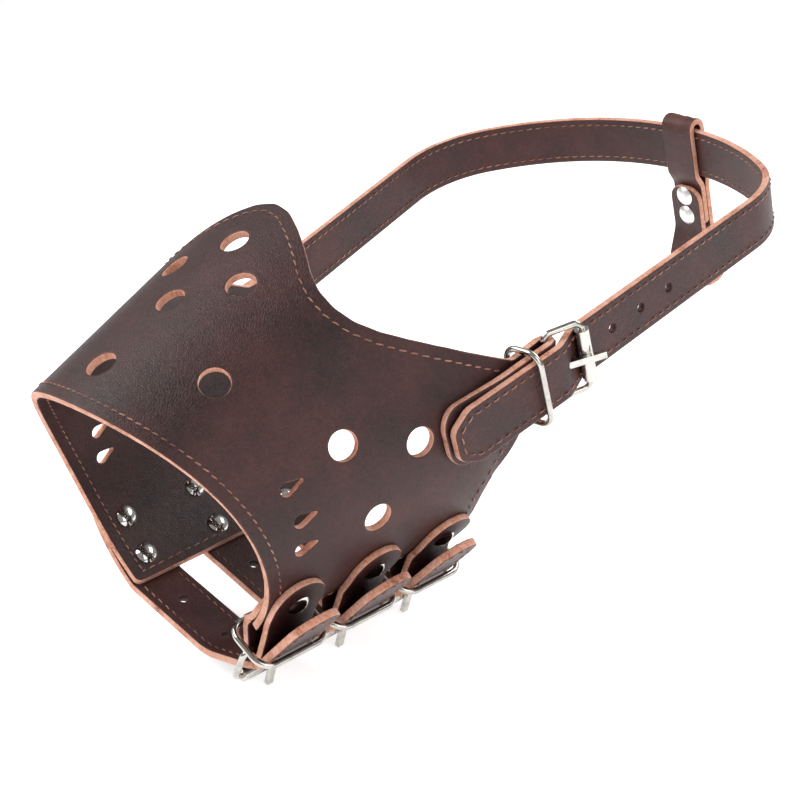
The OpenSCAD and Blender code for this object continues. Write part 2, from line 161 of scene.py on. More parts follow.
def insideLoop(points, loop):
    # for each point, whether it lies inside the loop
    x, y = points[:, 0], points[:, 1]
    hit = np.zeros(len(points), bool)
    for a, b in zip(loop, loop[1:] + loop[:1]):
        if a[1] != b[1]:
            crosses = (a[1] > y) != (b[1] > y)
            hit ^= crosses & (x < (b[0] - a[0]) * (y - a[1]) / (b[1] - a[1]) + a[0])
    return hit


def insideShape(points, loops):
    keep = insideLoop(points, loops[0])
    for hole in loops[1:]:
        keep &= ~insideLoop(points, hole)
    return keep


def newMesh(name, bm, materials, body, replaced=()):
    mesh = bpy.data.meshes.new(name)
    bm.normal_update()
    bm.to_mesh(mesh)
    bm.free()
    for m in materials:
        mesh.materials.append(m)
    for p in mesh.polygons:
        p.use_smooth = True
    ob = bpy.data.objects.new(name, mesh)
    bpy.context.scene.collection.objects.link(ob)
    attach(ob, body)
    if replaced:
        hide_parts(*replaced)
    return ob


# A piece of leather is a flat cut shape, laid on a curved surface
leather = {
    "edgeRadius": 0.45,     # how much the cut edge is eased
    "edgeStep": 1.3,        # spacing of points round an outline
    "holeStep": 0.9,        # and round a hole
    "faceStep": 2.8,        # spacing of points across a face
    "rowRatio": 0.87,       # from row to row, as a part of that spacing
    "clear": 0.55,          # least way from the rim, as a part of that spacing
    "rimWidth": 2.2,        # from the cut to the face's own points, in edge radii
}


def surfaceFrame(surface, u, v, flip):
    e = 0.05
    p = surface(u, v)
    du = surface(u + e, v) - surface(u - e, v)
    dv = surface(u, v + e) - surface(u, v - e)
    n = du.cross(dv)
    n.normalize()
    return p, n * flip


def layLeather(name, outline, holes, surface, thick, materials, body, replaced=(),
               flip=1, top=0.0, faceStep=None, dyedHoles=True):
    # surface(u, v) is where the outer face lies when top is 0; dyed holes keep the colour of the faces
    grid = faceStep or leather["faceStep"]
    r = leather["edgeRadius"]
    loops = [spaced(outline, leather["edgeStep"])]
    if area(loops[0]) < 0:
        loops[0].reverse()
    for h in holes:
        h = spaced(h, leather["holeStep"])
        if area(h) > 0:
            h.reverse()
        loops.append(h)
    rims = [inset(loop, r * leather["rimWidth"]) for loop in loops]
    verts, edges, owner = [], [], []
    for k, rim in enumerate(rims):
        first = len(verts)
        for i, p in enumerate(rim):
            verts.append(Vector(p))
            owner.append((k, i))
            edges.append((first + i, first + (i + 1) % len(rim)))
    lo = np.min(loops[0], axis=0)
    hi = np.max(loops[0], axis=0)
    ratio = leather["rowRatio"]
    rows = int((hi[1] - lo[1]) / (grid * ratio)) + 1
    allRim = np.array([p for rim in rims for p in rim])
    lattice = np.array([(u, lo[1] + j * grid * ratio) for j in range(rows + 1)
                        for u in np.arange(lo[0] + (j % 2) * grid / 2, hi[0], grid)])
    for p in lattice[insideShape(lattice, rims)]:
        if np.min(np.sum((allRim - p) ** 2, axis=1)) > (leather["clear"] * grid) ** 2:
            verts.append(Vector(p))
            owner.append(None)
    flat, _, faces, source, _, _ = delaunay_2d_cdt(verts, edges, [], 0, 1e-5)
    bm = bmesh.new()
    placed = {}

    def put(u, v, h):
        p, n = placed.get((u, v)) or surfaceFrame(surface, u, v, flip)
        placed[(u, v)] = (p, n)
        return bm.verts.new(p + n * (h * mm))

    upper = [put(p.x, p.y, top) for p in flat]
    lower = [put(p.x, p.y, top - thick) for p in flat]
    middles = np.array([np.mean([flat[i] for i in f], axis=0) for f in faces])
    for f, wanted in zip(faces, insideShape(middles, rims)):
        if wanted:
            bm.faces.new([upper[i] for i in f])
            bm.faces.new([lower[i] for i in reversed(f)])
    where = {}
    for i, s in enumerate(source):
        for k in s:
            if owner[k] is not None:
                where[owner[k]] = i
    profile = [(r, 0), (r * 0.3, -r * 0.3), (0, -r), (0, -thick / 2), (0, r - thick),
               (r * 0.3, r * 0.3 - thick), (r, -thick)]
    for k, loop in enumerate(loops):
        n = len(loop)
        rings = [[upper[where[(k, i)]] for i in range(n)]]
        for d, h in profile:
            moved = inset(loop, d) if d else loop
            rings.append([put(p[0], p[1], top + h) for p in moved])
        rings.append([lower[where[(k, i)]] for i in range(n)])
        for row in range(len(rings) - 1):
            for i in range(n):
                j = (i + 1) % n
                try:
                    f = bm.faces.new((rings[row][i], rings[row + 1][i], rings[row + 1][j], rings[row][j]))
                except ValueError:
                    continue
                isCut = 2 <= row <= len(rings) - 4 and not (k and dyedHoles)
                f.material_index = 1 if isCut else 0
    if flip < 0:
        bmesh.ops.reverse_faces(bm, faces=bm.faces)
    bmesh.ops.remove_doubles(bm, verts=bm.verts, dist=1e-7)
    return newMesh(name, bm, materials, body, replaced)


thread = {
    "pitch": 4.0,        # from one stitch to the next
    "length": 3.0,       # seen length of a stitch
    "radius": 0.27,      # half the thread's thickness
    "sides": 6,
    "slant": 0.16,       # how far each end lies off the line of the seam
    "rise": 0.16,        # how far its middle stands off the leather
    "dip": 0.42,         # how much lower its ends lie
    "seamStep": 2.0,     # spacing of points along a seam
}


def sewAlong(bm, line, surface, flip, height, away, keep=lambda u, v: True):
    # stitches along a line on a face; away is 1 on the outer face and -1 on the inner one
    n = int(line.length / thread["pitch"])
    if n < 1:
        return
    pitch = line.length / n
    for i in range(n):
        mid = (i + 0.5) * pitch
        if not keep(*line.at(mid)):
            continue
        half = thread["length"] / 2
        slant = thread["slant"] * away
        rings = []
        for t in (-1, -0.86, -0.45, 0, 0.45, 0.86, 1):
            q = line.at(mid + t * half)
            ahead = unit(line.at(mid + t * half + 0.1) - line.at(mid + t * half - 0.1))
            cross = leftOf(ahead)
            q = q + cross * slant * t
            fat = thread["radius"] * math.sqrt(max(0.04, 1 - t ** 4))
            rise = height + away * (thread["rise"] - thread["dip"] * t * t)
            p, nrm = surfaceFrame(surface, *q, flip)
            over = surface(*(q + cross * 0.2)) - surface(*q)
            over.normalize()
            ring = []
            for k in range(thread["sides"]):
                a = math.tau * k / thread["sides"]
                off = over * (fat * math.cos(a)) + nrm * (rise + fat * math.sin(a))
                ring.append(bm.verts.new(p + off * mm))
            rings.append(ring)
        for a, b in zip(rings, rings[1:]):
            for k in range(thread["sides"]):
                j = (k + 1) % thread["sides"]
                bm.faces.new((a[k], b[k], b[j], a[j]))
        bm.faces.new(rings[0][::-1])
        bm.faces.new(rings[-1])


def material(name):
    m = bpy.data.materials.new(name)
    m.use_nodes = True
    nt = m.node_tree
    return m, nt, nt.nodes["Principled BSDF"]


def node(nt, kind, **values):
    n = nt.nodes.new(kind)
    for key, value in values.items():
        if key in n.inputs.keys():
            n.inputs[key].default_value = value
        else:
            setattr(n, key, value)
    return n


def ramp(nt, source, stops):
    n = nt.nodes.new("ShaderNodeValToRGB")
    while len(n.color_ramp.elements) < len(stops):
        n.color_ramp.elements.new(0.5)
    for element, (at, colour) in zip(n.color_ramp.elements, stops):
        element.position = at
        element.color = (*colour, 1)
    nt.links.new(source, n.inputs[0])
    return n


def scaled(nt, sx=1.0, sy=1.0, sz=1.0):
    coords = nt.nodes.new("ShaderNodeTexCoord")
    m = nt.nodes.new("ShaderNodeMapping")
    m.inputs["Scale"].default_value = (sx, sy, sz)
    nt.links.new(coords.outputs["Object"], m.inputs["Vector"])
    return m.outputs[0]


hide = {
    "deep": (0.0135, 0.0034, 0.0032),    # the darkest pull in the hide
    "body": (0.036, 0.0092, 0.0078),     # its main red-brown
    "rubbed": (0.066, 0.0195, 0.0150),   # where handling has lightened it
    "grainSize": 1100.0,                 # grain cells per metre
    "grainDepth": 0.00022,
    "creaseSize": 130.0,
    "roughness": (0.36, 0.52),
}


def leatherFinish(name, lighter=1.0):
    m, nt, bsdf = material(name)
    link = nt.links.new
    where = scaled(nt)
    cloud = node(nt, "ShaderNodeTexNoise", Scale=38.0, Detail=6.0, Roughness=0.62)
    link(where, cloud.inputs["Vector"])
    fleck = node(nt, "ShaderNodeTexNoise", Scale=620.0, Detail=3.0, Roughness=0.7)
    link(where, fleck.inputs["Vector"])
    mix = node(nt, "ShaderNodeMath", operation="MULTIPLY_ADD")
    mix.inputs[1].default_value = 0.35
    link(fleck.outputs["Fac"], mix.inputs[0])
    part = node(nt, "ShaderNodeMath", operation="MULTIPLY")
    part.inputs[1].default_value = 0.65
    link(cloud.outputs["Fac"], part.inputs[0])
    link(part.outputs[0], mix.inputs[2])
    tint = [tuple(c * lighter for c in hide[k]) for k in ("deep", "body", "rubbed")]
    colour = ramp(nt, mix.outputs[0], [(0.36, tint[0]), (0.52, tint[1]), (0.70, tint[2])])
    # edges that are handled lose their dye first
    geometry = nt.nodes.new("ShaderNodeNewGeometry")
    worn = ramp(nt, geometry.outputs["Pointiness"], [(0.52, (0, 0, 0)), (0.60, (1, 1, 1))])
    rub = node(nt, "ShaderNodeMix", data_type="RGBA")
    rub.inputs[7].default_value = (0.13, 0.042, 0.030, 1)
    link(worn.outputs[0], rub.inputs[0])
    link(colour.outputs[0], rub.inputs[6])
    link(rub.outputs[2], bsdf.inputs["Base Color"])
    grain = node(nt, "ShaderNodeTexVoronoi", Scale=hide["grainSize"], feature="DISTANCE_TO_EDGE")
    link(where, grain.inputs["Vector"])
    cells = ramp(nt, grain.outputs["Distance"], [(0.0, (0, 0, 0)), (0.16, (1, 1, 1))])
    crease = node(nt, "ShaderNodeTexNoise", Scale=hide["creaseSize"], Detail=7.0, Roughness=0.6)
    link(where, crease.inputs["Vector"])
    fine = node(nt, "ShaderNodeBump", Strength=0.35, Distance=hide["grainDepth"])
    broad = node(nt, "ShaderNodeBump", Strength=0.5, Distance=0.0006)
    link(crease.outputs["Fac"], broad.inputs["Height"])
    link(cells.outputs[0], fine.inputs["Height"])
    link(broad.outputs[0], fine.inputs["Normal"])
    link(fine.outputs[0], bsdf.inputs["Normal"])
    rough = node(nt, "ShaderNodeMapRange")
    rough.inputs["To Min"].default_value, rough.inputs["To Max"].default_value = hide["roughness"]
    link(cloud.outputs["Fac"], rough.inputs["Value"])
    link(rough.outputs[0], bsdf.inputs["Roughness"])
    bsdf.inputs["Specular IOR Level"].default_value = 0.36
    return m


cutEdge = {
    "pale": (0.66, 0.36, 0.27),
    "tan": (0.52, 0.22, 0.13),
    "stain": (0.20, 0.06, 0.045),
}


def cutEdgeFinish(name):
    m, nt, bsdf = material(name)
    link = nt.links.new
    where = scaled(nt)
    fibre = node(nt, "ShaderNodeTexNoise", Scale=900.0, Detail=5.0, Roughness=0.7)
    blot = node(nt, "ShaderNodeTexNoise", Scale=150.0, Detail=3.0, Roughness=0.5)
    link(where, fibre.inputs["Vector"])
    link(where, blot.inputs["Vector"])
    fibreAndBlot = node(nt, "ShaderNodeMath", operation="MULTIPLY_ADD")
    fibreAndBlot.inputs[1].default_value = 0.45
    link(blot.outputs["Fac"], fibreAndBlot.inputs[0])
    part = node(nt, "ShaderNodeMath", operation="MULTIPLY")
    part.inputs[1].default_value = 0.55
    link(fibre.outputs["Fac"], part.inputs[0])
    link(part.outputs[0], fibreAndBlot.inputs[2])
    stops = [(0.34, cutEdge["stain"]), (0.45, cutEdge["tan"]), (0.60, cutEdge["pale"])]
    colour = ramp(nt, fibreAndBlot.outputs[0], stops)
    link(colour.outputs[0], bsdf.inputs["Base Color"])
    bump = node(nt, "ShaderNodeBump", Strength=0.8, Distance=0.0004)
    link(fibre.outputs["Fac"], bump.inputs["Height"])
    link(bump.outputs[0], bsdf.inputs["Normal"])
    bsdf.inputs["Roughness"].default_value = 0.85
    bsdf.inputs["Sheen Weight"].default_value = 0.15
    return m


def threadFinish(name):
    m, nt, bsdf = material(name)
    link = nt.links.new
    where = scaled(nt)
    ply = node(nt, "ShaderNodeTexWave", Scale=900.0, Distortion=2.0, Detail=1.0)
    link(where, ply.inputs["Vector"])
    soil = node(nt, "ShaderNodeTexNoise", Scale=70.0, Detail=3.0)
    link(where, soil.inputs["Vector"])
    colour = ramp(nt, soil.outputs["Fac"], [(0.35, (0.13, 0.045, 0.030)), (0.6, (0.36, 0.17, 0.115))])
    link(colour.outputs[0], bsdf.inputs["Base Color"])
    bump = node(nt, "ShaderNodeBump", Strength=0.4, Distance=0.0002)
    link(ply.outputs["Fac"], bump.inputs["Height"])
    link(bump.outputs[0], bsdf.inputs["Normal"])
    bsdf.inputs["Roughness"].default_value = 0.62
    return m


def metalFinish(name, colour, roughness):
    m, nt, bsdf = material(name)
    link = nt.links.new
    where = scaled(nt)
    cloud = node(nt, "ShaderNodeTexNoise", Scale=260.0, Detail=5.0, Roughness=0.65)
    link(where, cloud.inputs["Vector"])
    dark = tuple(c * 0.72 for c in colour)
    tint = ramp(nt, cloud.outputs["Fac"], [(0.35, dark), (0.55, colour)])
    link(tint.outputs[0], bsdf.inputs["Base Color"])
    rough = node(nt, "ShaderNodeMapRange")
    rough.inputs["To Min"].default_value = roughness * 0.7
    rough.inputs["To Max"].default_value = roughness * 1.6
    link(cloud.outputs["Fac"], rough.inputs["Value"])
    link(rough.outputs[0], bsdf.inputs["Roughness"])
    scratch = node(nt, "ShaderNodeTexNoise", Scale=1400.0, Detail=2.0)
    link(scaled(nt, 1, 0.2, 1), scratch.inputs["Vector"])
    bump = node(nt, "ShaderNodeBump", Strength=0.08, Distance=0.0001)
    link(scratch.outputs["Fac"], bump.inputs["Height"])
    link(bump.outputs[0], bsdf.inputs["Normal"])
    bsdf.inputs["Metallic"].default_value = 1.0
    return m


panelLeather = leatherFinish("panelLeather")
strapLeather = leatherFinish("strapLeather", 1.15)
rawEdge = cutEdgeFinish("rawEdge")
sewingThread = threadFinish("sewingThread")
brightWire = metalFinish("brightWire", (0.50, 0.475, 0.44), 0.11)
rolledSteel = metalFinish("rolledSteel", (0.58, 0.555, 0.52), 0.16)
chromeDome = metalFinish("chromeDome", (0.62, 0.60, 0.58), 0.10)
whiteCap = metalFinish("whiteCap", (0.88, 0.87, 0.85), 0.32)
print("finishes made")


nosePanel = {
    "radius": 54.3,
    "halfAngle": math.radians(11),
    "skirtStation": 80.0,
    "thickness": 2.8,
    "seamInset": 4.2,
    "frontCurve": (-133.0, -12.0, 130.0),   # centre along and up, radius, of the cut at the nose
    "openingTop": 60.0,                     # where the two planes of the underside opening meet
    "openingSpread": 0.78,
    "farEdge": 28.5,                        # from the middle plane to the lower edge of the far side
    "holeRadius": 5.0,
    "axisHeight": 48.8,                     # of the cone's axis at the nose, above the design's own level
    "flatStart": (86.0, 104.0),             # between these stations the left tab turns flat
    "flatEnd": (136.0, 156.0),              # and here its flap takes the cone's curve again
    "flatHalf": 13.0,                       # half the width of its flat strip
    "tabHalf": 11.0,                        # half the width of a side tab
    "tabFoot": (102.3, 101.3),              # where a tab's lower and upper edges begin
    "flapEnd": 169.5,                       # end of the left tab, by the way round its fold
    "farTabEnd": 112.0,
    "seamEnd": 112.0,                       # no stitches beyond this station
    "lowerEnd": 83.3,                       # rear end of the near side's lower edge
    "frontCorner": 136.0,                   # degrees from the top, about where the near side's corner is
    "farFront": -7.0,                       # station of the far side's front corner
}
slope = math.tan(nosePanel["halfAngle"])
flatRadius = nosePanel["radius"] + nosePanel["skirtStation"] * slope
neckBarX, neckBarS, _ = inPanel(Vector(joints["neck_prong_lift"]["pos_m"]))
foldRadius = neckBarX - flatRadius
tilt = math.atan2(back.z, back.y)
tabStart = 60               # the tab's route is read by station, from this one on


def smooth(a, b, x):
    t = min(1, max(0, (x - a) / (b - a)))
    return t * t * (3 - 2 * t)


def radiusAt(s):
    return nosePanel["radius"] + min(s, nosePanel["skirtStation"]) * slope


# The left tab runs flat to the buckle bar, turns round it and comes back outside as a flap
tabLine = Line(roundedPath(
    [(flatRadius, tabStart), (flatRadius, neckBarS + foldRadius),
     (neckBarX + foldRadius, neckBarS + foldRadius), (70.15, 82), (67.3, 65.5), (64, 48)],
    [0, foldRadius, foldRadius, 25, 10, 0], 0.3), zero=-tabStart)


def panelSurface(q, u):
    # q runs round the cone from the top, in millimetres at its widest; u runs back along it
    a = q / flatRadius
    flatFrom, flatFull = nosePanel["flatStart"]
    if q < 0 or u < flatFrom:
        r = radiusAt(u)
        return onPanel(r * math.sin(a), u, r * math.cos(a))
    w = (math.pi / 2) * flatRadius - q
    p = tabLine.at(u)
    flatness = smooth(flatFrom, flatFull, u) * (1 - smooth(*nosePanel["flatEnd"], u))
    far = max(abs(w) - nosePanel["flatHalf"] * flatness, 0)
    bow = flatRadius - math.sqrt(max(flatRadius ** 2 - far ** 2, 0))
    # off the flat strip the leather keeps to the cone, so its width shrinks with the bow
    if u < flatFull:
        w = w * flatness + flatRadius * math.cos(a) * (1 - flatness)
    return onPanel(p[0] - bow, p[1], w)


def frontStation(a):
    # where the cut at the nose crosses a line along the cone
    cs, cw, r = nosePanel["frontCurve"]
    s = 0.0
    for _ in range(30):
        w = radiusAt(s) * math.cos(a)
        s = cs + math.sqrt(r * r - (w - cw) ** 2)
    return s


def lowerAngle(s):
    # where the near side meets the plane of the underside opening
    lo, hi = math.radians(110), math.radians(165)
    for _ in range(40):
        a = (lo + hi) / 2
        x = radiusAt(s) * math.sin(a)
        z = nosePanel["axisHeight"] + s * math.sin(tilt) + radiusAt(s) * math.cos(a) * math.cos(tilt)
        if x > nosePanel["openingSpread"] * (nosePanel["openingTop"] - z):
            lo = a
        else:
            hi = a
    return a


def farLowerAngle(s):
    # where the far side stands over its straight lower edge
    return math.pi - math.asin(nosePanel["farEdge"] / radiusAt(s))


# Rear edge of one side, from the tip of the tongue down: degrees from the top, and station
tongueEdge = [(0, 77.5), (7, 75.6), (14.5, 70.9), (21.5, 65.8), (28, 60.8), (34, 57.8), (40.5, 57.3),
              (47, 59.2), (53.4, 63.8), (59.1, 69.8), (65, 77), (70.5, 84.8), (76.2, 93.5)]
flankEdge = [(106, 94.5), (111.2, 89), (115.2, 84.7), (119, 82.2), (124, 81.4), (130, 81.9), (137, 82.8)]


def panelOutline():
    toQ = flatRadius * math.pi / 180
    middle = 90 * toQ
    half = nosePanel["tabHalf"]
    lowerFoot, upperFoot = nosePanel["tabFoot"]
    pts, radii = [], []

    def add(q, s, r=0.0):
        pts.append((q, s))
        radii.append(r)

    frontA = math.degrees(lowerAngle(frontStation(math.radians(nosePanel["frontCorner"]))))
    # left lower edge, front to back
    for s in (2, 12, 22, 32, 42, 52, 62, 72):
        add(math.degrees(lowerAngle(s)) * toQ, s, 12)
    lowerEnd = nosePanel["lowerEnd"]
    add(math.degrees(lowerAngle(lowerEnd)) * toQ, lowerEnd, 3)
    for a, s in reversed(flankEdge):
        add(a * toQ, s, 9)
    add(middle + half, lowerFoot, 5)
    add(middle + half, nosePanel["flapEnd"], 8)
    add(middle - half, nosePanel["flapEnd"], 8)
    add(middle - half, upperFoot, 5)
    for a, s in reversed(tongueEdge):
        add(a * toQ, s, 12 if a else 10)
    for a, s in tongueEdge[1:]:
        add(-a * toQ, s, 12)
    add(-middle + half, upperFoot, 5)
    add(-middle + half, nosePanel["farTabEnd"], 3)
    add(-middle - half, nosePanel["farTabEnd"], 3)
    add(-middle - half, lowerFoot, 5)
    for a, s in flankEdge:
        add(-a * toQ, s, 9)
    for s in (78, 60, 40, 20, 2):
        add(-math.degrees(farLowerAngle(s)) * toQ, s, 4 if s == 78 else 12)
    farA = math.degrees(farLowerAngle(nosePanel["farFront"]))
    add(-farA * toQ, frontStation(math.radians(farA)), 3)
    n = 48
    for i in range(1, n):
        a = -farA + (farA + frontA) * i / n
        add(a * toQ, frontStation(math.radians(a)), 0)
    add(frontA * toQ, frontStation(math.radians(frontA)), 3)
    return closedRound(pts, radii, leather["edgeStep"])


def panelHole(s, a, shape):
    # shape is in true millimetres: across, along
    k = flatRadius / radiusAt(s)
    c = math.cos(nosePanel["halfAngle"])
    return [np.array((math.radians(a) * flatRadius + x * k, s + y * c)) for x, y in shape]


def teardrop():
    r = 2.2
    turns = np.linspace(math.radians(165), math.radians(375), 12)
    return [(r * math.cos(t), -2 + r * math.sin(t)) for t in turns] + [(0.35, 4.2), (-0.35, 4.2)]


def slotAbout(u, v, reachU, reachV):
    return [np.array(p) for p in ((u - reachU, v - reachV), (u + reachU, v - reachV),
                                  (u + reachU, v + reachV), (u - reachU, v + reachV))]


def panelHoles():
    # each hole by its station and its degrees from the top
    airHole = circle(0, 0, nosePanel["holeRadius"], 26)
    holes = [panelHole(s, 0, airHole) for s in (-2.6, 27.7, 57.5)]
    for sgn in (1, -1):
        for s, a in ((43.5, 16), (13.5, 36), (34.3, 74), (58.4, 86), (38.1, 102.5)):
            holes.append(panelHole(s, a * sgn, airHole))
        for s, a in ((14.2, 76), (14.3, 88), (12, 98)):
            holes.append(panelHole(s, a * sgn, teardrop()))
    slotQ = math.pi / 2 * flatRadius
    foldMiddle = neckBarS + foldRadius * math.pi / 2
    holes.append(slotAbout(slotQ, foldMiddle, 1.5, 7))
    return holes


outline = panelOutline()
layLeather("nosePanel", outline, panelHoles(), panelSurface, nosePanel["thickness"],
           [panelLeather, rawEdge], "basket", ["nose_panel"], dyedHoles=False)
seamLoop = outline if area(outline) > 0 else outline[::-1]
seam = inset(spaced(seamLoop, thread["seamStep"]), nosePanel["seamInset"])
seamLine = Line(np.array(seam + [seam[0]]))


def seamHere(q, u):
    return u < nosePanel["seamEnd"]


threads = bmesh.new()
sewAlong(threads, seamLine, panelSurface, 1, 0.0, 1, seamHere)
sewAlong(threads, seamLine, panelSurface, 1, -nosePanel["thickness"], -1, seamHere)
newMesh("panelStitching", threads, [sewingThread], "basket")
print("nose panel laid")


def along(angle):
    return np.array((math.cos(math.radians(angle)), math.sin(math.radians(angle))))


def cornerOff(centre, reach, n, m):
    # where two lines meet that both pass centre at that reach, square to n and to m
    return centre + reach * (n + m) / (1 + n @ m)


def meeting(p, a, q, b):
    return p + along(a) * ((q - p) @ leftOf(along(b))) / (along(a) @ leftOf(along(b)))


def nearestOn(line, point):
    places = np.arange(-line.zero, line.length - line.zero, 0.1)
    return min(places, key=lambda u: np.linalg.norm(line.at(u) - point))


def sewStrap(name, outline, surface, flip, body, keep=lambda u, v: True):
    loop = spaced(outline, thread["seamStep"])
    if area(loop) < 0:
        loop.reverse()
    seam = inset(loop, strap["seamInset"])
    line = Line(np.array(seam + [seam[0]]))
    bm = bmesh.new()
    sewAlong(bm, line, surface, flip, half, 1, keep)
    sewAlong(bm, line, surface, flip, -half, -1, keep)
    return newMesh(name, bm, [sewingThread], body)


strap = {
    "width": 20.0,
    "thickness": 2.8,
    "tipFlat": 11.0,        # straight part of the neck strap's blunt tip
    "farFlat": 16.0,        # and of its far end
    "tipRun": 0.78,         # length of the slanting edges beside a tip, in half widths
    "seamInset": 2.6,
    "holeRadius": 1.7,
    "holeSides": 16,
    "prongStretch": 1.7,    # the prong's own hole is this much longer than it is wide
    "holePitch": 15.3,
    "firstHole": 18.0,      # from the buckle's roller to the first spare hole
}
half = strap["thickness"] / 2
rollX, rollS, _ = inPanel(Vector(joints["neck_roller_spin"]["pos_m"]))
neckBar = np.array((neckBarX, neckBarS))
neckRoller = np.array((rollX, rollS))
neckYaw = math.degrees(math.atan2(rollX - neckBarX, rollS - neckBarS))
buckleLength = float(np.linalg.norm(neckRoller - neckBar))

neck = {
    "tailLength": 39.0,     # of the leaf that lies ahead of the buckle's bar
    "leafLean": 5.4,        # degrees that the leaf and the two runs lean in towards the nape
    "runLean": 4.0,
    "farLean": -8.2,
    "overBar": 5.9,         # from the bar's middle to the strap's
    "napeRadius": 110.0,
    "napeLeft": 38,         # degrees round the nape where the bend begins and ends
    "napeRight": -40,
    "farBend": 110,         # station where the far run leaves the panel
    "farEnd": 84,
    "foot": 10,             # how far the leaf runs on past its route
}
underRoller = 4.1           # from a roller's middle to the middle of its strap
leafLean, runLean = neck["leafLean"], neck["runLean"]
napeRadius = neck["napeRadius"]
nape = np.array((0.0, napeStation))
farFoot = np.array((-(flatRadius + layGap + half), neck["farBend"]))
neckCross = neckYaw - math.degrees(math.asin((neck["overBar"] + underRoller) / buckleLength))
lean = np.array((math.cos(math.radians(leafLean)), -math.sin(math.radians(leafLean))))
leafWay = np.array((math.sin(math.radians(leafLean)), math.cos(math.radians(leafLean))))
napeStart = along(90 - neck["napeLeft"])
napeEnd = along(90 - neck["napeRight"])
neckPoints = [
    neckBar + neck["overBar"] * lean - neck["tailLength"] * leafWay,
    cornerOff(neckBar, neck["overBar"], along(-leafLean), along(-neckCross)),
    cornerOff(neckRoller, -underRoller, along(-neckCross), along(-runLean)),
    meeting(neckRoller - underRoller * along(-runLean), 90 - runLean,
            nape + napeRadius * napeStart, 180 - neck["napeLeft"]),
    cornerOff(nape, napeRadius, napeStart, napeEnd),
    meeting(farFoot, 90 - neck["farLean"], nape + napeRadius * napeEnd, 180 - neck["napeRight"]),
    farFoot,
    np.array((farFoot[0], neck["farEnd"]))]
neckLine = Line(roundedPath(neckPoints, [0, neck["overBar"], underRoller, 32, napeRadius, 40, 40, 0], 1.5))


def neckSurface(u, v):
    x, s = neckLine.at(u)
    return onPanel(x, s, v)


def strapOutline(start, end, width, tipFlat, farFlat):
    w, t, f = width / 2, tipFlat / 2, farFlat / 2
    run = w * strap["tipRun"]
    corners = [(start, -t), (start, t), (start + run, w), (end - run, w),
               (end, f), (end, -f), (end - run, -w), (start + run, -w)]
    return closedRound(corners, [4, 4, 6, 6, 4, 4, 6, 6], leather["edgeStep"])


def roundEnds(start, end, width):
    w = width / 2
    return closedRound([(start, -w), (start, w), (end, w), (end, -w)], [w * 0.97] * 4, leather["edgeStep"])


def spareHole(u):
    return circle(u, 0, strap["holeRadius"], strap["holeSides"])


def prongHole(u):
    return circle(u, 0, strap["holeRadius"], strap["holeSides"], strap["prongStretch"])


spareWays = [strap["firstHole"] + i * strap["holePitch"] for i in range(3)]
neckHoles = [spareHole(nearestOn(neckLine, neckPoints[2] + way * along(90 - runLean))) for way in spareWays]
neckHoles.append(prongHole(nearestOn(neckLine, (neckBar + neckRoller) / 2 + 1.0 * along(-neckYaw))))
neckOutline = strapOutline(-neck["foot"], neckLine.length, strap["width"],
                           strap["tipFlat"], strap["farFlat"])
layLeather("neckStrap", neckOutline, neckHoles, neckSurface, strap["thickness"], [strapLeather, rawEdge],
           "basket", ["neck_strap"], top=half, faceStep=3.4)
sewStrap("neckStrapStitching", neckOutline, neckSurface, 1, "basket",
         keep=lambda u, v: u < neckLine.length - 6)
print("neck strap laid")

chin = {
    "width": 20.0,
    "tabThickness": 2.5,
    "bar": (36.0, 4.4),     # the buckle's bar, out from the middle plane and above the design's own level
    "topHeight": 31.0,      # of the tab's leaves, above that level
    "tailLength": 31.0,
    "tailAngle": 45,        # degrees that the strap's tail rises
    "dip": 118.6,           # degrees that the buckle points down from level
    "overTab": 5.7,         # from the bar's middle to the strap's
    "holes": (16, 40),      # spare holes, from the far lower edge
}
lift = 15.2                 # of the design's own level above the ground
shiftX = panelAt.x / mm


def coneSide(y, z, offset):
    # how far out the panel's outer face lies at a height and a place along the ground, all in millimetres
    dy, dz = y - panelAt.y / mm, z - panelAt.z / mm
    s = dy * math.cos(tilt) + dz * math.sin(tilt)
    w = -dy * math.sin(tilt) + dz * math.cos(tilt)
    r = radiusAt(s) + offset / math.cos(nosePanel["halfAngle"])
    return math.sqrt(max(r * r - w * w, 1.0))


def level(points):
    # chin shapes are set out about the muzzle's middle plane and their own level
    return [np.array((p[0], p[1] + lift)) for p in points]


chinFrontY = joints["front_prong_lift"]["pos_m"][1] / mm
chinDip = math.radians(chin["dip"])
overTab = chin["overTab"]
chinTail = chin["tailAngle"]
chinBarAt = np.array((chin["bar"][0], chin["bar"][1] + lift))
chinRollAt = chinBarAt + buckleLength * np.array((math.cos(chinDip), -math.sin(chinDip)))
chinCross = 180 - chin["dip"] - math.degrees(math.asin((overTab + underRoller) / buckleLength))
tailRun = chin["tailLength"] - chin["width"] / 2
tailEnd = chinBarAt - overTab * leftOf(along(chinTail)) + tailRun * along(chinTail)


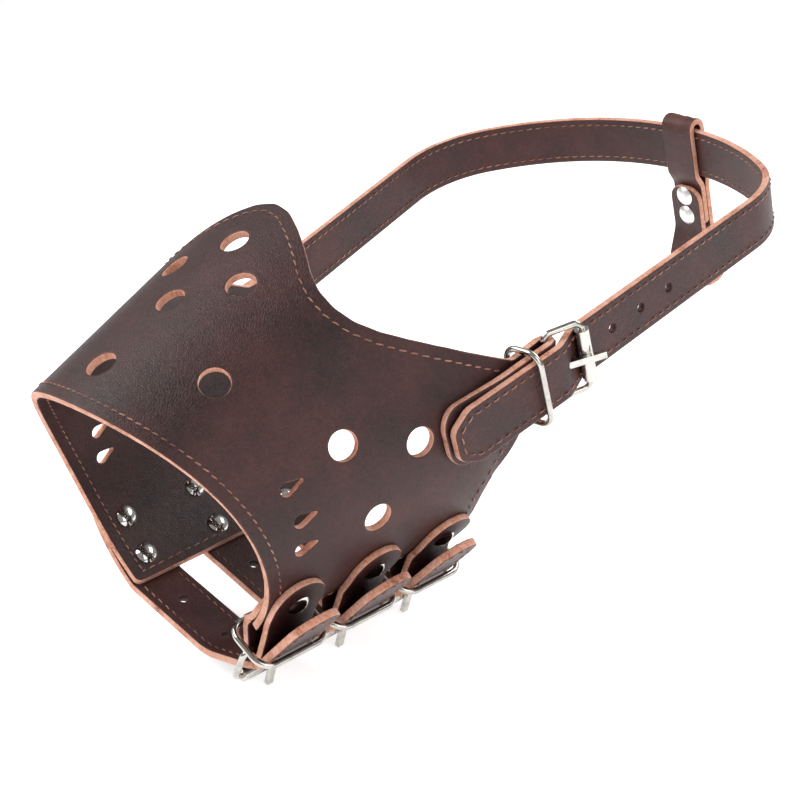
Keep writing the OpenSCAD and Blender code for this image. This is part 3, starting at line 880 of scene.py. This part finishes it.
def chinStrap(name, y):
    top = chin["topHeight"] + 1 + lift
    edge = np.array((-nosePanel["farEdge"] - 1.5, 3.2 + 0.044 * (y - chinFrontY) + lift))
    offset = layGap + half
    farSide = [np.array((-coneSide(y, z, offset), z)) for z in np.arange(top, edge[1] + 2, -2.0)]
    pts = farSide + [edge] + level([(10.1, -7.1)]) + [
        cornerOff(chinRollAt, underRoller, leftOf(along(10)), leftOf(along(chinCross))),
        cornerOff(chinBarAt, overTab, -leftOf(along(chinCross)), -leftOf(along(chinTail))), tailEnd]
    radii = [0] + [15] * (len(farSide) - 1) + [7, 25, underRoller, overTab, 0]
    line = Line(roundedPath(pts, radii, 1.2))
    edgeAt = nearestOn(line, edge)

    def surface(u, v):
        x, z = line.at(u)
        if x < 0:
            hug = smooth(edge[1] - 2, edge[1] + 2, z)
            x -= (coneSide(y + v, z, offset) - coneSide(y, z, offset)) * hug
        return Vector((x + shiftX, y + v, z)) * mm

    outline = roundEnds(0, line.length + 10, chin["width"])
    holes = [spareHole(edgeAt + d) for d in chin["holes"]]
    holes.append(prongHole(nearestOn(line, (chinBarAt + chinRollAt) / 2)))
    layLeather("chinStrap_" + name, outline, holes, surface, strap["thickness"], [strapLeather, rawEdge],
               "basket", ["chin_strap_" + name], flip=-1, top=half, faceStep=3.2)
    sewStrap("chinStrapStitching_" + name, outline, surface, -1, "basket")


def chinTab(name, y):
    t = chin["tabThickness"] / 2
    r = 1.5 + t
    top = chin["topHeight"] + lift
    over = layGap + t
    under = -nosePanel["thickness"] - layGap - t
    outside = [np.array((coneSide(y, z, over), z)) for z in np.arange(top, lift + 17, -2.0)]
    inside = [np.array((coneSide(y, z, under), z)) for z in np.arange(lift + 16, top - 2, 2.0)]
    barX, barZ = chin["bar"]
    pts = outside + level([(44.6, 15.4), (barX + r, barZ - r), (barX - r, barZ - r), (33.8, 15)]) + inside
    radii = [0] + [15] * (len(outside) - 1) + [8, r, r, 5] + [15] * (len(inside) - 1) + [0]
    line = Line(roundedPath(pts, radii, 0.9))
    fold = nearestOn(line, chinBarAt - np.array((0, r)))

    def surface(u, v):
        x, z = line.at(u)
        off = over if u < fold else under
        hug = smooth(lift + 11, lift + 17, z)
        x += (coneSide(y + v, z, off) - coneSide(y, z, off)) * hug
        return Vector((x + shiftX, y + v, z)) * mm

    outline = roundEnds(0, line.length, chin["width"])
    layLeather("chinTab_" + name, outline, [slotAbout(fold, 0, 8, 1.5)], surface, chin["tabThickness"],
               [panelLeather, rawEdge], "basket", ["chin_tab_" + name], top=t)


for chinName in chinNames:
    chinY = joints[chinName + "_prong_lift"]["pos_m"][1] / mm
    chinStrap(chinName, chinY)
    chinTab(chinName, chinY)
print("chin straps and tabs laid")

collarLoop = {
    "angle": 9,
    "width": 16.0,
    "thickness": 2.5,
    "play": 0.4,            # between the loop and each face of the neck strap
    "overEdge": 0.6,        # and over the strap's upper edge
}


def collarLoopPiece():
    thick = collarLoop["thickness"]
    lay = thick + layGap
    inner = napeRadius - half - collarLoop["play"] - thick / 2
    outer = napeRadius + half + collarLoop["play"] + thick / 2
    topR = (outer - inner) / 2
    topZ = strap["width"] / 2 + collarLoop["overEdge"] + topR
    pts = [(inner, -16), (inner, -36), (inner - 6, -49), (inner - 3, -61),
           (inner + 2 * lay + 3, -61), (inner + 2 * lay + 6, -49), (inner + 2 * lay, -36),
           (inner + 2 * lay, -16), (outer, -11), (outer, topZ), (inner, topZ), (inner, -10),
           (inner + lay, -15.5), (inner + lay, -33)]
    line = Line(roundedPath(pts, [0, 8, 8, 5, 5, 8, 8, 4, 4, topR, topR, 2, 2, 0], 0.9))
    out = along(90 - collarLoop["angle"])
    across = np.array((out[1], -out[0]))

    def surface(u, v):
        rho, w = line.at(u)
        x, s = nape + rho * out + v * across
        return onPanel(x, s, w)

    w = collarLoop["width"] / 2
    corners = [(0, -w), (0, w), (line.length, w), (line.length, -w)]
    outline = closedRound(corners, [6, 6, 2, 2], leather["edgeStep"])
    layLeather("collarLoop", outline, [], surface, thick, [strapLeather, rawEdge],
               "collar", ["collar_loop"], top=thick / 2)


collarLoopPiece()
print("collar loop laid")


# The metal pieces keep the shapes of the design and take only a finish
def finishNodes(names, finish):
    for n in names:
        ob = frame["nodes"][n]
        ob.data.materials.clear()
        ob.data.materials.append(finish)


finishNodes(["neck_buckle_frame", "neck_keeper_ring"]
            + [k + "_" + c for k in ("chin_frame", "chin_keeper") for c in chinNames], brightWire)
finishNodes(["neck_buckle_roller", "neck_buckle_prong"]
            + [k + "_" + c for k in ("chin_roller", "chin_prong") for c in chinNames], rolledSteel)
finishNodes(["chin_strap_rivets", "chin_tab_rivets", "neck_strap_rivets"], chromeDome)
finishNodes(["collar_loop_rivets"], whiteCap)


studio = {
    "floorColour": (0.90, 0.90, 0.90),
    "floorGlow": 0.62,
    "keyPower": 13.0,
    "fillPower": 4.0,
    "rimPower": 7.0,
    "skyStrength": 0.40,
    "aim": (0, 0.0, 0.07),          # where the lights point
    "lens": 64.94,
    "cameraPlace": (0.3653, -0.3695, 0.2611),
    "cameraTurn": (68.779, 2.284, 45.157),
}


def areaLight(name, place, target, size, power):
    data = bpy.data.lights.new(name, "AREA")
    data.shape = "RECTANGLE"
    data.size, data.size_y = size
    data.energy = power
    ob = bpy.data.objects.new(name, data)
    ob.location = place
    ob.rotation_euler = (Vector(target) - Vector(place)).to_track_quat("-Z", "Y").to_euler()
    bpy.context.scene.collection.objects.link(ob)


floorMesh = bpy.data.meshes.new("floor")
sheet = bmesh.new()
bmesh.ops.create_grid(sheet, x_segments=1, y_segments=1, size=4.0)
sheet.to_mesh(floorMesh)
sheet.free()
floor = bpy.data.objects.new("floor", floorMesh)
floor.location.z = -0.0003
bpy.context.scene.collection.objects.link(floor)
floorPaint, floorTree, floorBsdf = material("floorPaint")
mottle = node(floorTree, "ShaderNodeTexNoise", Scale=6.0, Detail=2.0)
tone = ramp(floorTree, mottle.outputs["Fac"], [(0.3, studio["floorColour"]), (0.7, (0.95, 0.95, 0.95))])
floorTree.links.new(tone.outputs[0], floorBsdf.inputs["Base Color"])
floorBsdf.inputs["Roughness"].default_value = 0.8
floorBsdf.inputs["Emission Color"].default_value = (1, 1, 1, 1)
floorBsdf.inputs["Emission Strength"].default_value = studio["floorGlow"]
floorMesh.materials.append(floorPaint)
areaLight("key", (-0.55, -0.55, 0.95), studio["aim"], (0.9, 0.9), studio["keyPower"])
areaLight("fill", (0.9, -0.25, 0.55), studio["aim"], (0.8, 0.8), studio["fillPower"])
areaLight("rim", (0.2, 0.9, 0.8), studio["aim"], (0.9, 0.5), studio["rimPower"])
world = bpy.data.worlds.new("studioSky")
world.use_nodes = True
world.node_tree.nodes["Background"].inputs[0].default_value = (1, 1, 1, 1)
world.node_tree.nodes["Background"].inputs[1].default_value = studio["skyStrength"]
bpy.context.scene.world = world
bpy.context.scene.view_settings.view_transform = "Standard"
cameraData = bpy.data.cameras.new("camera")
cameraData.lens = studio["lens"]
cameraData.sensor_width = 36.0
camera = bpy.data.objects.new("camera", cameraData)
camera.location = studio["cameraPlace"]
camera.rotation_euler = [math.radians(a) for a in studio["cameraTurn"]]
bpy.context.scene.collection.objects.link(camera)
bpy.context.scene.camera = camera

print("scene ready")
